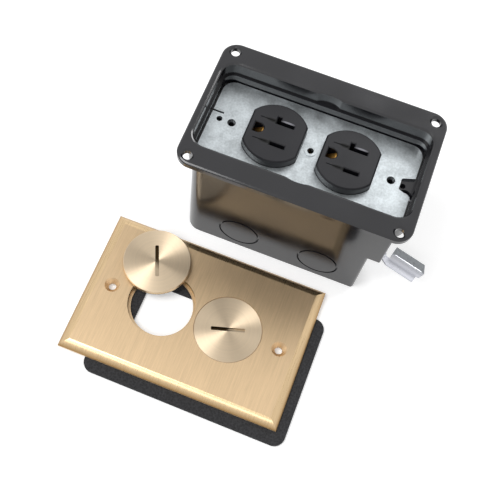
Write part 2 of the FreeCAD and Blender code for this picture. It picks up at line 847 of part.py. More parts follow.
def line_contact(label, side):
    """The folded brass contact of one side: terminal plate, bridge, strip and two blade clips.

    Side is 1 for the neutral slots and -1 for the hot ones.
    """
    body = new_body(label)
    thick = "contact_thickness"
    leaf = "(blade_gauge / 2 + contact_gap / 2)"
    inner = "(blade_gauge / 2 - contact_gap / 2)"
    plate = "(moulding_width / 2 - terminal_recess)"

    fold = sketch(body, "fold_profile", "YZ", lift="-terminal_window / 2 + contact_clearance")
    section(
        fold,
        side,
        [
            (plate + " + " + thick, "0"),
            (plate + " + " + thick, "terminal_height"),
            (plate, "terminal_height"),
            (plate, thick),
            (leaf + " + " + thick, thick),
            (leaf + " + " + thick, "strip_height"),
            (leaf, "strip_height"),
            (leaf, "0"),
        ],
    )
    pad(body, "fold", fold, "terminal_window - 2 * contact_clearance")

    ears = sketch(body, "ear_profile", "YZ", lift="-terminal_length / 2")
    section(
        ears,
        side,
        [
            (plate, thick + " * 3"),
            (plate + " + " + thick, thick + " * 3"),
            (plate + " + " + thick, "terminal_height"),
            (plate, "terminal_height"),
        ],
    )
    pad(body, "ears", ears, "terminal_length")

    strip = sketch(body, "strip_profile", "YZ", lift="-strip_length / 2")
    section(
        strip,
        side,
        [
            (leaf, "0"),
            (leaf + " + " + thick, "0"),
            (leaf + " + " + thick, "strip_height"),
            (leaf, "strip_height"),
        ],
    )
    pad(body, "strip", strip, "strip_length")

    for name, sign in (("left", "-"), ("right", "")):
        clip = sketch(
            body,
            name + "_clip_profile",
            "YZ",
            lift=sign + "outlet_pitch / 2 + slot_offset - leaf_width / 2",
        )
        bend = "leaf_height - 2"
        section(
            clip,
            side,
            [
                (leaf, thick),
                (leaf, bend),
                (leaf + " + leaf_flare", "leaf_height"),
                (leaf + " + leaf_flare + " + thick, "leaf_height"),
                (leaf + " + " + thick, bend),
                (leaf + " + " + thick, "0"),
                (inner + " - " + thick, "0"),
                (inner + " - " + thick, bend),
                (inner + " - leaf_flare - " + thick, "leaf_height"),
                (inner + " - leaf_flare", "leaf_height"),
                (inner, bend),
                (inner, thick),
            ],
        )
        pad(body, name + "_clip", clip, "leaf_width")

    holes = sketch(body, "screw_holes", "XZ")
    for sign in ("-", ""):
        circle(
            holes,
            sign + "terminal_pitch / 2",
            "terminal_screw_height",
            "terminal_screw_diameter + 0.1",
        )
    pocket(body, "screw_taps", holes, "moulding_width", up=side == FRONT)
    return put(body, z=CAVITY_FLOOR)


def section(drawing, side, corners):
    """An outline in the YZ plane, on the side of the middle that side gives."""
    outline(drawing, [("%s * (%s)" % (side, y), z) for y, z in corners])


def screw_profile(body, name, shank, length, head, height):
    """A pan-headed screw that points down from its head's seat at the origin, driver slot on top."""
    half = sketch(body, name + "_profile", "XZ")
    outline(
        half,
        [
            ("0", "-(%s)" % length),
            ("(%s) / 2 - 0.4" % shank, "-(%s)" % length),
            ("(%s) / 2" % shank, "0.4 - (%s)" % length),
            ("(%s) / 2" % shank, "0"),
            ("(%s) / 2" % head, "0"),
            ("(%s) / 2" % head, "(%s) * 2 / 3" % height),
            ("(%s) / 2 - (%s) / 3" % (head, height), height),
            ("0", height),
        ],
    )
    turned = revolve(body, name, half)
    slot = sketch(body, name + "_slot_outline", lift=height)
    centred(slot, head, "driver_slot_width")
    cut = pocket(body, name + "_slot", slot, "driver_slot_depth")
    return turned, cut


def terminal_screws(label, side):
    """The two terminal screws of one side as one node."""
    body = new_body(label)
    body.AllowCompound = True
    turned, cut = screw_profile(
        body,
        "screw",
        "terminal_screw_diameter",
        "terminal_shank_length",
        "terminal_head_diameter",
        "terminal_head_height",
    )
    doc.recompute()
    made = body.newObject("PartDesign::LinearPattern", "pair")
    made.Originals = [turned, cut]
    across = next(way for way in body.Origin.OriginFeatures if way.Role == "X_Axis")
    made.Direction = (across, [""])
    made.setExpression("Length", cells("terminal_pitch"))
    made.Occurrences = 2
    body.Tip = made
    lean = 90 if side == FRONT else -90
    body.Placement = FreeCAD.Placement(V(), FreeCAD.Rotation(V(1, 0, 0), lean))
    face = "%s * (moulding_width / 2 - terminal_recess + contact_thickness)" % side
    for way, text in zip(
        "xyz", ("-terminal_pitch / 2", face, CAVITY_FLOOR + " + terminal_screw_height")
    ):
        body.setExpression("Placement.Base." + way, cells(text))
    return body


def ground_contact():
    """The earth strip along the middle of the base, with two pin clips and the earth screw's tab."""
    body = new_body("ground_contact")
    half = "ground_strip_width / 2"
    thick = "contact_thickness"
    strip = sketch(body, "strip_outline")
    rectangle(strip, GROUND_TAB, GROUND_END, "-" + half, half)
    pad(body, "strip", strip, thick)

    for name, sign in (("left", "-"), ("right", "")):
        pin_place = sign + "outlet_pitch / 2 - ground_offset"
        low = "%s - ground_pin_gap / 2" % pin_place
        high = "%s + ground_pin_gap / 2" % pin_place
        rise = "(ground_strip_drop + ground_tongue_rise)"
        clip = sketch(body, name + "_clip_profile", "XZ", lift="-%s + 0.4" % half)
        outline(
            clip,
            [
                (low + " - " + thick, "0"),
                (low, "0"),
                (low, rise + " - 4"),
                (high, rise),
                (high, "0"),
                (high + " + " + thick, "0"),
                (high + " + " + thick, rise + " + " + thick),
                (high, rise + " + " + thick),
                (low + " - " + thick, rise + " - 3.4"),
            ],
        )
        pad(body, name + "_clip", clip, "ground_strip_width - 0.8")

    tab = sketch(body, "tab_outline")
    rectangle(tab, GROUND_TAB + " - " + thick, GROUND_TAB, "-" + half, "ground_tab_reach")
    pad(body, "tab", tab, "ground_tab_height")
    hole = sketch(body, "tab_hole", "YZ", lift=GROUND_TAB + " + 1")
    circle(
        hole, "ground_screw_offset", "ground_tab_height / 2", "terminal_screw_diameter + 0.1"
    )
    pocket(body, "tab_tap", hole, "3")
    return put(body, z=BASE_TOP + " - ground_strip_drop")


def ground_screw():
    """The earth terminal's screw, on the tab at the receptacle's end."""
    body = new_body("ground_screw")
    screw_profile(
        body,
        "screw",
        "terminal_screw_diameter",
        "contact_thickness",
        "terminal_head_diameter",
        "terminal_head_height",
    )
    body.Placement = FreeCAD.Placement(V(), FreeCAD.Rotation(V(0, 1, 0), -90))
    height = BASE_TOP + " - ground_strip_drop + ground_tab_height / 2"
    for way, text in zip(
        "xyz", (GROUND_TAB + " - contact_thickness", "ground_screw_offset", height)
    ):
        body.setExpression("Placement.Base." + way, cells(text))
    return body


def body_rivets():
    """Four rivets that hold the receptacle's two mouldings together, as one node."""
    body = new_body("body_rivets")
    body.AllowCompound = True
    shanks = sketch(body, "shank_circles", lift="-base_depth")
    heads = sketch(body, "head_circles", lift="-base_depth")
    for across in ("-", ""):
        for along in ("-", ""):
            place = (across + RIVET_ALONG, along + RIVET_ACROSS)
            circle(shanks, *place, "rivet_diameter")
            circle(heads, *place, "rivet_head_diameter")
    pad(body, "heads", heads, "rivet_head_height", down=True)
    pad(body, "shanks", shanks, "base_depth + rivet_grip")
    foot = number("-base_depth - rivet_head_height")
    soften(body, "Chamfer", "head_bevel", "rivet_head_height / 2", lambda e: level(e, foot))
    return put(body, z=BASE_TOP)


def clamp_screw():
    """The long screw that hangs from the box's shelf and draws the clamp up."""
    body = new_body("clamp_screw")
    screw_profile(
        body,
        "screw",
        "clamp_screw_diameter",
        "clamp_screw_length",
        "clamp_head_diameter",
        "clamp_head_height",
    )
    return put(body, CLAMP_REACH, "-clamp_offset", HEAD_SEAT)


def clamp_retainer():
    """The push-on ring that keeps the screw from lifting out of its block."""
    body = new_body("clamp_retainer")
    plan = sketch(body, "ring_outline")
    circle(plan, "0", "0", "nut_width + 2 * retainer_rim")
    circle(plan, "0", "0", "clamp_screw_diameter")
    pad(body, "ring", plan, "retainer_thickness")
    height = BLOCK_FOOT + " - retainer_drop - retainer_thickness"
    return put(body, CLAMP_REACH, "-clamp_offset", height)


def clamp_nut():
    """The square nut that rides along the end wall without turning, with the arm's pivot collar."""
    body = new_body("clamp_nut")
    square = sketch(body, "square_outline", lift="-nut_height")
    centred(square, "nut_width", "nut_width", "end_corner / 4")
    pad(body, "square", square, "nut_height")
    profile = sketch(body, "collar_profile", "XZ")
    rim = "(arm_thickness + nut_play)"
    outline(
        profile,
        [
            ("0", "-nut_height / 2"),
            ("collar_diameter / 2", "-nut_height / 2"),
            ("collar_diameter / 2", rim),
            ("nut_rim_diameter / 2", rim),
            ("nut_rim_diameter / 2", rim + " + nut_rim_height"),
            ("0", rim + " + nut_rim_height"),
        ],
    )
    revolve(body, "collar", profile)
    bore = sketch(body, "bore_outline", lift=rim + " + nut_rim_height")
    circle(bore, "0", "0", "clamp_screw_diameter + 2 * running_clearance")
    pocket(body, "bore", bore)
    return put(body, CLAMP_REACH, "-clamp_offset", ARM_HEIGHT)


def clamp_arm():
    """The pressed arm: a hub round the nut's collar, a low front strip and a raised back strip."""
    body = new_body("clamp_arm")
    lower = sketch(body, "lower_outline")
    hub = HUB_RADIUS
    outline(
        lower,
        [
            ("-" + hub, "-" + hub, hub + " - 0.3"),
            (hub, "-%s - 0.2" % hub, "1"),
            ("arm_strip_start", "-arm_front", "2"),
            ("arm_lower_end", "-arm_front", "0.6"),
            ("arm_lower_end", "-arm_fold"),
            (hub + " * 1.95", "-arm_fold", "0.8"),
            (hub + " * 0.9", hub, "1.5"),
            ("-" + hub, hub, hub + " - 0.3"),
        ],
    )
    pad(body, "lower", lower, "arm_thickness")

    step = sketch(body, "step_profile", "YZ", lift="arm_strip_start")
    outline(
        step,
        [
            ("-arm_front + 2", "0"),
            ("-arm_fold", "0"),
            ("arm_web_run - arm_fold", "arm_step"),
            ("arm_back", "arm_step"),
            ("arm_back", "arm_step + arm_thickness"),
            ("arm_web_run - arm_fold - 1", "arm_step + arm_thickness"),
            ("-arm_fold - 1", "arm_thickness"),
            ("-arm_front + 2", "arm_thickness"),
        ],
    )
    pad(body, "step", step, "arm_upper_end - arm_strip_start")

    trim = sketch(body, "end_trim", lift="arm_step + arm_thickness")
    outline(
        trim,
        [
            ("arm_upper_end - arm_end_chamfer", "arm_back + 1"),
            ("arm_upper_end - arm_end_chamfer", "arm_back"),
            ("arm_upper_end", "arm_web_run - arm_fold"),
            ("arm_upper_end - 1", "-arm_fold"),
            ("arm_lower_end", "-arm_fold - 0.3"),
            ("arm_lower_end", "-arm_front - 1"),
            ("arm_upper_end + 2", "-arm_front - 1"),
            ("arm_upper_end + 2", "arm_back + 1"),
        ],
    )
    pocket(body, "end_shape", trim)
    hole = sketch(body, "hub_hole", lift="arm_thickness")
    circle(hole, "0", "0", "collar_diameter + 2 * running_clearance")
    pocket(body, "pivot", hole)
    put(body, CLAMP_REACH, "-clamp_offset", ARM_HEIGHT, "arm_angle")
    return body


def gasket():
    """The foam gasket that goes between the flange and the plate."""
    body = new_body("gasket")
    plan = sketch(body, "gasket_outline")
    centred(plan, "gasket_length", "gasket_width", "gasket_corner")
    centred(
        plan,
        "gasket_length - 2 * gasket_band",
        "gasket_width - 2 * gasket_band",
        "gasket_inner_corner",
    )
    for sign in ("-", ""):
        circle(plan, sign + "cover_screw_pitch / 2", "0", "gasket_hole_diameter")
    pad(body, "sheet", plan, "gasket_thickness")
    return put(body, "gasket_across", "gasket_along", "0", "gasket_turn")


def cover_plate():
    """The brass plate with bevelled edges, two threaded plug holes and two countersunk holes."""
    body = new_body("cover_plate")
    rim = sketch(body, "rim_outline")
    centred(rim, "plate_length", "plate_width")
    pad(body, "rim", rim, "plate_rim")
    foot = sketch(body, "bevel_foot", lift="plate_rim")
    centred(foot, "plate_length", "plate_width")
    head = sketch(body, "bevel_head", lift="plate_thickness")
    centred(head, "plate_length - 2 * plate_bevel", "plate_width - 2 * plate_bevel")
    doc.recompute()
    bevel = body.newObject("PartDesign::AdditiveLoft", "bevel")
    bevel.Profile = foot
    bevel.Sections = [head]
    bevel.Ruled = True

    threads = sketch(body, "plug_threads", lift="plate_thickness")
    through = sketch(body, "plug_openings", lift="plate_thickness")
    screws = sketch(body, "screw_centres", lift="plate_thickness")
    for sign in ("-", ""):
        x = sign + "outlet_pitch / 2"
        circle(threads, x, "0", "plug_diameter + 2 * thread_clearance")
        circle(through, x, "0", "plug_diameter + 2 * thread_clearance - 2 * plug_ledge_width")
        circle(screws, sign + "cover_screw_pitch / 2", "0", "plate_hole_diameter")
    pocket(body, "threaded_holes", threads, "plate_thickness - plug_ledge")
    pocket(body, "ledged_openings", through)
    sink_holes(body, "screw_sinks", screws, "plate_hole_diameter", "plate_sink_diameter", 82)
    return put(body, "plate_across", "plate_along", "gasket_thickness")


def plug(label, x, y, z, turn):
    """A brass screw-in plug with a coin slot across its face."""
    body = new_body(label)
    disc = sketch(body, "disc_outline")
    circle(disc, "0", "0", "plug_diameter")
    pad(body, "disc", disc, "plug_thickness")
    top = number("plug_thickness")
    soften(body, "Chamfer", "rim_chamfer", "plug_edge", lambda edge: level(edge, top))
    slot = sketch(body, "coin_slot_outline", lift="plug_thickness")
    centred(slot, "plug_slot_length", "plug_slot_width", "plug_slot_corner")
    pocket(body, "coin_slot", slot, "plug_slot_depth")
    return put(body, x, y, z, turn)


def seal(label, x, y, z):
    """The flat sealing ring under a plug's rim."""
    body = new_body(label)
    ring = sketch(body, "ring_outline")
    circle(ring, "0", "0", "plug_diameter - 2 * thread_clearance")
    circle(ring, "0", "0", "plug_diameter - 2 * thread_clearance - 2 * seal_width")
    pad(body, "ring", ring, "seal_thickness")
    return put(body, x, y, z)


RIGHT_PLUG = ("plate_across + outlet_pitch / 2", "plate_along")
RIGHT_SEAL_FOOT = PLATE_TOP + " - plug_thickness - seal_thickness"
LEFT_PLUG = ("left_plug_across", "left_plug_along")

parts = [
    box_body(),
    mounting_strap(),
    centre_eyelet(),
    receptacle_face(),
    receptacle_base(),
    line_contact("neutral_contact", REAR),
    line_contact("hot_contact", FRONT),
    terminal_screws("neutral_screws", REAR),
    terminal_screws("hot_screws", FRONT),
    ground_contact(),
    ground_screw(),
    body_rivets(),
    clamp_screw(),
    clamp_retainer(),
    clamp_nut(),
    clamp_arm(),
    gasket(),
    cover_plate(),
    seal("plug_right_seal", *RIGHT_PLUG, RIGHT_SEAL_FOOT),
    plug("plug_right", *RIGHT_PLUG, RIGHT_SEAL_FOOT + " + seal_thickness", "right_plug_turn"),
    seal("plug_left_seal", *LEFT_PLUG, PLATE_TOP),
    plug("plug_left", *LEFT_PLUG, PLATE_TOP + " + seal_thickness", "left_plug_turn"),
]

doc.recompute()
for thing in doc.Objects:
    if "Invalid" in thing.State or "Error" in thing.State:
        raise RuntimeError("%s is not sound: %s" % (thing.Label, thing.State))
for part in parts:
    if part.Shape.isNull() or not part.Shape.isValid() or not part.Shape.Solids:
        raise RuntimeError("%s has no sound shape" % part.Label)

os.makedirs("parts", exist_ok=True)
for part in parts:
    part.Shape.exportStep("parts/%s.step" % part.Label)
    box = part.Shape.BoundBox
    print(
        "%-17s %d solids  x %7.2f %7.2f  y %7.2f %7.2f  z %6.2f %6.2f  %9.1f mm3"
        % (
            (part.Label, len(part.Shape.Solids), box.XMin, box.XMax)
            + (box.YMin, box.YMax, box.ZMin, box.ZMax, part.Shape.Volume)
        )
    )
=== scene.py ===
import math

import bpy
import numpy as np
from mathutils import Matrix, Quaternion, Vector


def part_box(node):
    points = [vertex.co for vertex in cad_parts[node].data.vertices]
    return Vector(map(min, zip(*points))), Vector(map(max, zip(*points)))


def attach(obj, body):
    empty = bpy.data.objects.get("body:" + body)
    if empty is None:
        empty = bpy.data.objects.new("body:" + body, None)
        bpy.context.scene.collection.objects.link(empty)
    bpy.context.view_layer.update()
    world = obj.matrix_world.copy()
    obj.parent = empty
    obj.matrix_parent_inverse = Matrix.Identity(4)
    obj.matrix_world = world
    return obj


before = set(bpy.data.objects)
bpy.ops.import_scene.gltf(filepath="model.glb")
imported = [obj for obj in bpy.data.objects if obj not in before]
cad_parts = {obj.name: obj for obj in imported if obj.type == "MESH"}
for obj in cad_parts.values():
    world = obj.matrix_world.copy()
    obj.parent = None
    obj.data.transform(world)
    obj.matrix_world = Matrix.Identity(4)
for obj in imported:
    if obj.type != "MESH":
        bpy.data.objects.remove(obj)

# The floor socket box in its finishes: black mouldings, a zinc-plated strap and clamp, a foam
# gasket and a brass cover plate with turned brass plugs.  Lengths in metres.

MM = 0.001
OUTLET_STEP = 38.1 * MM
BLADE_GAUGE = 12.7 * MM

# The painted shade of the dished guide beside each blade slot lies this far along from its
# outlet's middle.  The painted highlight on the far edge of the upper slot lies so far along from
# there, and so far across from its row of slots.
# The halves are those of their length, their width and a height that isn't used.
GUIDE_OFFSET = 3.2 * MM
GUIDE_HALF = (5.6 * MM, 1.6 * MM, 1.0)
HIGHLIGHT_OFFSET = (4.2 * MM, 1.25 * MM)
HIGHLIGHT_HALF = (4.0 * MM, 0.6 * MM, 1.0)

ARM_PIVOT = (50.4 * MM, -5.2 * MM, 15.4 * MM)
ARM_TURN = math.radians(-14.5)

# The ends of the arm's two beads, in millimetres along, across and above its pivot.
ARM_RIDGE = ((9.8, -0.9, 4.3), (28.9, -0.9, 4.3))
ARM_CREASE = ((11.0, -2.4, 1.8), (26.3, -2.4, 1.8))
BEAD_FLATNESS = 0.7

PLUG_PITCH = 1.27 * MM
HOLE_CENTRE = (-46.95 * MM, -78.0 * MM)
HOLE_RADIUS = 18.47 * MM
PLUG_THREAD_RADIUS = 18.43 * MM
PLUG_SLOT_HALF = 10.0 * MM
SLOT_TURNS = {"left": math.radians(113.0), "right": math.radians(17.0)}

SCREW_PITCH = 0.79375 * MM
SCREW_THREAD_RADIUS = 2.04 * MM
SCREW_PLAIN_LENGTH = 12.7 * MM

BEVEL_RUN = 4.8 * MM
BEVEL_FALL = 3.2 * MM
BEVEL_BULGE = 0.55 * MM

# The box's front right corner, from below the collar down to the step.
CORNER_MIDDLE = (46.0 * MM, -18.9 * MM)
CORNER_POINT = (52.6 * MM, -26.9 * MM)
CORNER_ROUND = 0.8 * MM
CORNER_DEPTH = 6.2 * MM
CORNER_HEIGHTS = (40.5 * MM, 70.0 * MM)


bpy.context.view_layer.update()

# ---------------------------------------------------------------- camera

CAMERA_PLACE = Vector((16.25, -221.07, 428.73)) * MM
CAMERA_AIM = Vector((-24.24, -55.67, 40.0)) * MM
CAMERA_ROLL = math.radians(8.07)
CAMERA_LENS = 60.17
CAMERA_SENSOR = 36.0
CAMERA_SHIFT = (0.0605, 0.0166)


def set_camera():
    """A camera at its place, aimed at a point and rolled about its own line of sight."""
    camera = bpy.data.objects.new("camera", bpy.data.cameras.new("camera"))
    bpy.context.scene.collection.objects.link(camera)
    camera.data.sensor_width = CAMERA_SENSOR
    camera.data.lens = CAMERA_LENS
    camera.data.shift_x, camera.data.shift_y = CAMERA_SHIFT
    camera.data.clip_start = 0.01
    aim = (CAMERA_AIM - CAMERA_PLACE).to_track_quat("-Z", "Y")
    camera.rotation_mode = "QUATERNION"
    camera.rotation_quaternion = aim @ Quaternion((0, 0, 1), CAMERA_ROLL)
    camera.location = CAMERA_PLACE
    bpy.context.scene.camera = camera


set_camera()

# ---------------------------------------------------------------- materials

# The Mix node's sockets for colours, which share their names with those for numbers.
MIX_SHARE, MIX_FIRST, MIX_SECOND = 0, 6, 7
MIX_RESULT = 2


class Finish:
    """A node-built material: one Principled shader, and short calls that feed its sockets."""

    def __init__(self, name, **constants):
        self.material = bpy.data.materials.new(name)
        self.material.use_nodes = True
        self.tree = self.material.node_tree
        self.shader = self.tree.nodes["Principled BSDF"]
        for socket, value in constants.items():
            self.shader.inputs[socket.replace("_", " ")].default_value = value
        self.object_space = self.add("TexCoord").outputs["Object"]

    def add(self, kind, feed=None, **settings):
        """A node with its settings, and its inputs fed by numbers or by other nodes' sockets."""
        made = self.tree.nodes.new("ShaderNode" + kind)
        for key, value in settings.items():
            setattr(made, key, value)
        for key, value in (feed or {}).items():
            if isinstance(value, bpy.types.NodeSocket):
                self.tree.links.new(value, made.inputs[key])
            else:
                made.inputs[key].default_value = value
        return made

    def drive(self, socket, source):
        self.tree.links.new(source, self.shader.inputs[socket])

    def stretched(self, scale, centre=(0, 0, 0), turn=0.0):
        """Object space about a centre, turned about Z and stretched."""
        moved = self.add(
            "Mapping",
            {"Vector": self.object_space, "Location": [-value for value in centre]},
        )
        made = self.add(
            "Mapping", {"Vector": moved.outputs[0], "Rotation": (0, 0, turn), "Scale": scale}
        )
        return made.outputs[0]

    def parts(self, vector):
        """The X, Y and Z of a vector."""
        return self.add("SeparateXYZ", {"Vector": vector}).outputs

    def height(self):
        return self.parts(self.object_space)["Z"]

    def radius(self, place):
        """How far a place lies from the upright axis."""
        split = self.parts(place)
        flat = self.add("CombineXYZ", {"X": split["X"], "Y": split["Y"], "Z": 0.0}).outputs[0]
        return self.add("VectorMath", {0: flat}, operation="LENGTH").outputs["Value"]

    def noise(self, vector, scale, detail=3.0, rough=0.5):
        made = self.add(
            "TexNoise", {"Vector": vector, "Scale": scale, "Detail": detail, "Roughness": rough}
        )
        return made.outputs["Fac"]

    def spread(self, value, low, high, start=0.0, end=1.0):
        """The value mapped from start..end to low..high."""
        made = self.add(
            "MapRange",
            {"Value": value, "From Min": start, "From Max": end, "To Min": low, "To Max": high},
        )
        return made.outputs["Result"]

    def sum(self, *values):
        total = values[0]
        for value in values[1:]:
            total = self.add("Math", {0: total, 1: value}, operation="ADD").outputs[0]
        return total

    def product(self, first, second):
        return self.add("Math", {0: first, 1: second}, operation="MULTIPLY").outputs[0]

    def blend(self, share, first, second):
        """A colour between two."""
        made = self.add("Mix", data_type="RGBA")
        for index, value in ((MIX_SHARE, share), (MIX_FIRST, first), (MIX_SECOND, second)):
            if isinstance(value, bpy.types.NodeSocket):
                self.tree.links.new(value, made.inputs[index])
            else:
                made.inputs[index].default_value = value
        return made.outputs[MIX_RESULT]

    def turned(self, direction):
        """A direction of the object's own space, as the shader's tangent wants it."""
        made = self.add(
            "VectorTransform",
            {"Vector": direction},
            vector_type="VECTOR",
            convert_from="OBJECT",
            convert_to="WORLD",
        )
        return made.outputs[0]

    def patch(self, centre, half, soft):
        """1 inside an upright oval about a centre, and 0 outside it, with a soft edge."""
        place = self.stretched(tuple(1.0 / size for size in half), centre)
        return self.spread(self.radius(place), 1.0, 0.0, 1.0 - soft, 1.0)

    def bump(self, height, strength, depth):
        made = self.add("Bump", {"Height": height, "Strength": strength, "Distance": depth})
        self.drive("Normal", made.outputs[0])


def colour(red, green, blue):
    return (red, green, blue, 1.0)


def shade(base, share):
    """A colour made darker or lighter."""
    return colour(*(share * value for value in base))


def moulded_black(name, base, rough, grain, depth):
    """Black moulding compound with a fine spark-eroded grain and a faint uneven gloss."""
    finish = Finish(name, IOR=1.6)
    dress_black(finish, base, rough, grain, depth)
    return finish.material


def dress_black(finish, base, rough, grain, depth, dark=None, painted_highlight=None):
    """The black compound's tone, gloss and grain, and painted shade and highlights if given."""
    fine = finish.noise(finish.object_space, grain, 4.0, 0.6)
    broad = finish.noise(finish.object_space, 45.0, 2.0)
    tone = finish.blend(broad, colour(*base), shade(base, 1.5))
    gloss = finish.spread(broad, rough - 0.04, rough + 0.06, 0.3, 0.7)
    # dark paints shade into the hollows as near black, and makes them rougher.
    if dark:
        tone = finish.blend(dark, tone, colour(0.001, 0.001, 0.001))
        gloss = finish.sum(gloss, finish.product(dark, 0.5))
    # The painted highlight is a light grey laid over the tone.
    if painted_highlight:
        tone = finish.blend(painted_highlight, tone, colour(0.26, 0.26, 0.29))
    finish.drive("Base Color", tone)
    finish.drive("Roughness", gloss)
    finish.bump(fine, 0.35, depth)


def zinc(name, base, rough, depth=0.02 * MM):
    """Zinc plate over rolled steel: cloudy patches, a faint speckle and small pits."""
    finish = Finish(name, Metallic=1.0)
    clouds = finish.noise(finish.object_space, 120.0, 4.0, 0.65)
    speckle = finish.noise(finish.object_space, 900.0, 3.0, 0.65)
    dark = shade(base, 0.68)
    share = finish.spread(finish.sum(clouds, speckle), 0.0, 1.0, 0.72, 1.2)
    finish.drive("Base Color", finish.blend(share, dark, colour(*base)))
    finish.drive("Roughness", finish.spread(clouds, rough - 0.06, rough + 0.1, 0.3, 0.7))
    finish.bump(speckle, 0.3, depth)
    return finish.material


def pressed_zinc(name, front, back):
    """Zinc plate on the pressed arm, its raised back strip painted darker as painted shade."""
    finish = Finish(name, Metallic=1.0)
    place = finish.stretched((1.0, 1.0, 1.0), ARM_PIVOT, -ARM_TURN)
    across = finish.parts(place)["Y"]
    grain = finish.noise(finish.object_space, 800.0, 3.0, 0.6)
    # Painted shade: the strip behind the arm's bend takes the dark back colour.
    share = finish.spread(across, 0.0, 1.0, -2.9 * MM, -0.6 * MM)
    tone = finish.blend(share, colour(*front), colour(*back))
    dark = finish.blend(share, shade(front, 0.8), shade(back, 0.7))
    finish.drive("Base Color", finish.blend(grain, dark, tone))
    finish.drive("Roughness", finish.spread(grain, 0.26, 0.4, 0.3, 0.7))
    finish.bump(grain, 0.2, 0.02 * MM)
    return finish.material


def brushed_brass(name, base, rough, spread, foot=None):
    """Brass brushed across the plate, with long fine scratches and faint broad bands.

    Below the height foot the brass is painted browner towards the plate's edge, a painted dark
    reflection of the foam gasket."""
    finish = Finish(name, Metallic=1.0, Anisotropic=spread, Anisotropic_Rotation=0.25)
    fine = finish.noise(finish.stretched((5200.0, 150.0, 150.0)), 1.0, 4.0, 0.7)
    coarse = finish.noise(finish.stretched((1500.0, 40.0, 40.0)), 1.0, 3.0, 0.6)
    both = finish.sum(fine, coarse)
    dark = shade(base, 0.8)
    tone = finish.blend(finish.spread(both, 0.0, 1.0, 0.65, 1.3), dark, colour(*base))
    # Painted reflection: dark brown towards the bevel's lower lip.
    if foot:
        low = finish.spread(finish.height(), 0.9, 0.0, foot - 1.9 * MM, foot)
        tone = finish.blend(low, tone, colour(0.3, 0.17, 0.06))
    finish.drive("Base Color", tone)
    finish.drive("Roughness", finish.spread(both, rough, rough + 0.12, 0.6, 1.4))
    finish.drive("Tangent", finish.turned((0.0, 1.0, 0.0)))
    finish.bump(fine, 0.2, 0.02 * MM)
    return finish.material


def turned_brass(name, base, centre, top, slot_turn):
    """Brass faced on a lathe: rings about the plug's own centre, and a coin slot painted with
    shade.

    The rings spread the highlights outwards from the middle, so the face shows bright and dark
    fans.  Below the face, the slot is painted with shade, strongest at one end of its length."""
    finish = Finish(name, Metallic=1.0, Anisotropic=0.93)
    place = finish.stretched((1.0, 1.0, 1.0), centre, slot_turn)
    radius = finish.radius(place)
    rings = finish.add("CombineXYZ", {"X": radius, "Y": 0.0, "Z": 0.0}).outputs[0]
    fine = finish.noise(rings, 6000.0, 3.0, 0.7)
    coarse = finish.noise(rings, 900.0, 2.0, 0.6)
    both = finish.sum(fine, coarse)
    dark = shade(base, 0.86)
    tone = finish.blend(finish.spread(both, 0.0, 1.0, 0.65, 1.3), dark, colour(*base))
    # Painted shade in the sunk coin slot, darkest towards one end.
    sunk = finish.spread(finish.height(), 1.0, 0.0, top - 0.5 * MM, top - 0.15 * MM)
    inside = finish.spread(radius, 1.0, 0.0, PLUG_SLOT_HALF, PLUG_SLOT_HALF + 0.6 * MM)
    along = finish.spread(finish.parts(place)["X"], 1.0, 0.35, -1.0 * MM, 3.0 * MM)
    painted_slot_shade = finish.product(finish.product(sunk, inside), along)
    finish.drive("Base Color", finish.blend(painted_slot_shade, tone, colour(0.035, 0.022, 0.01)))
    finish.drive("Roughness", finish.spread(both, 0.36, 0.44, 0.6, 1.4))
    outward = finish.add("VectorMath", {0: finish.object_space, 1: centre}, operation="SUBTRACT")
    finish.drive("Tangent", finish.turned(outward.outputs[0]))
    finish.bump(fine, 0.08, 0.01 * MM)
    return finish.material


def spring_brass(name, base, rough=0.35):
    """Plain rolled brass for contacts and terminal screws."""
    finish = Finish(name, Metallic=1.0)
    clouds = finish.noise(finish.object_space, 300.0, 3.0)
    dark = shade(base, 0.7)
    finish.drive("Base Color", finish.blend(clouds, dark, colour(*base)))
    finish.drive("Roughness", finish.spread(clouds, rough - 0.08, rough + 0.08))
    return finish.material


def foam(name, base):
    """Closed-cell foam sheet: charcoal, with a speckle of cut cells."""
    finish = Finish(name, Roughness=0.92)
    cells = finish.add(
        "TexVoronoi", {"Vector": finish.object_space, "Scale": 900.0}, feature="F1"
    ).outputs["Distance"]
    grit = finish.noise(finish.object_space, 1500.0, 2.0, 0.7)
    light = shade(base, 3.2)
    share = finish.spread(finish.sum(cells, grit), 0.0, 1.0, 0.55, 1.35)
    finish.drive("Base Color", finish.blend(share, colour(*base), light))
    finish.bump(cells, 0.7, 0.25 * MM)
    return finish.material


def painted(name, base):
    """A painted or dyed screw head."""
    finish = Finish(name, Metallic=0.6)
    clouds = finish.noise(finish.object_space, 500.0)
    dark = shade(base, 0.6)
    finish.drive("Base Color", finish.blend(clouds, dark, colour(*base)))
    finish.drive("Roughness", finish.spread(clouds, 0.3, 0.5))
    return finish.material


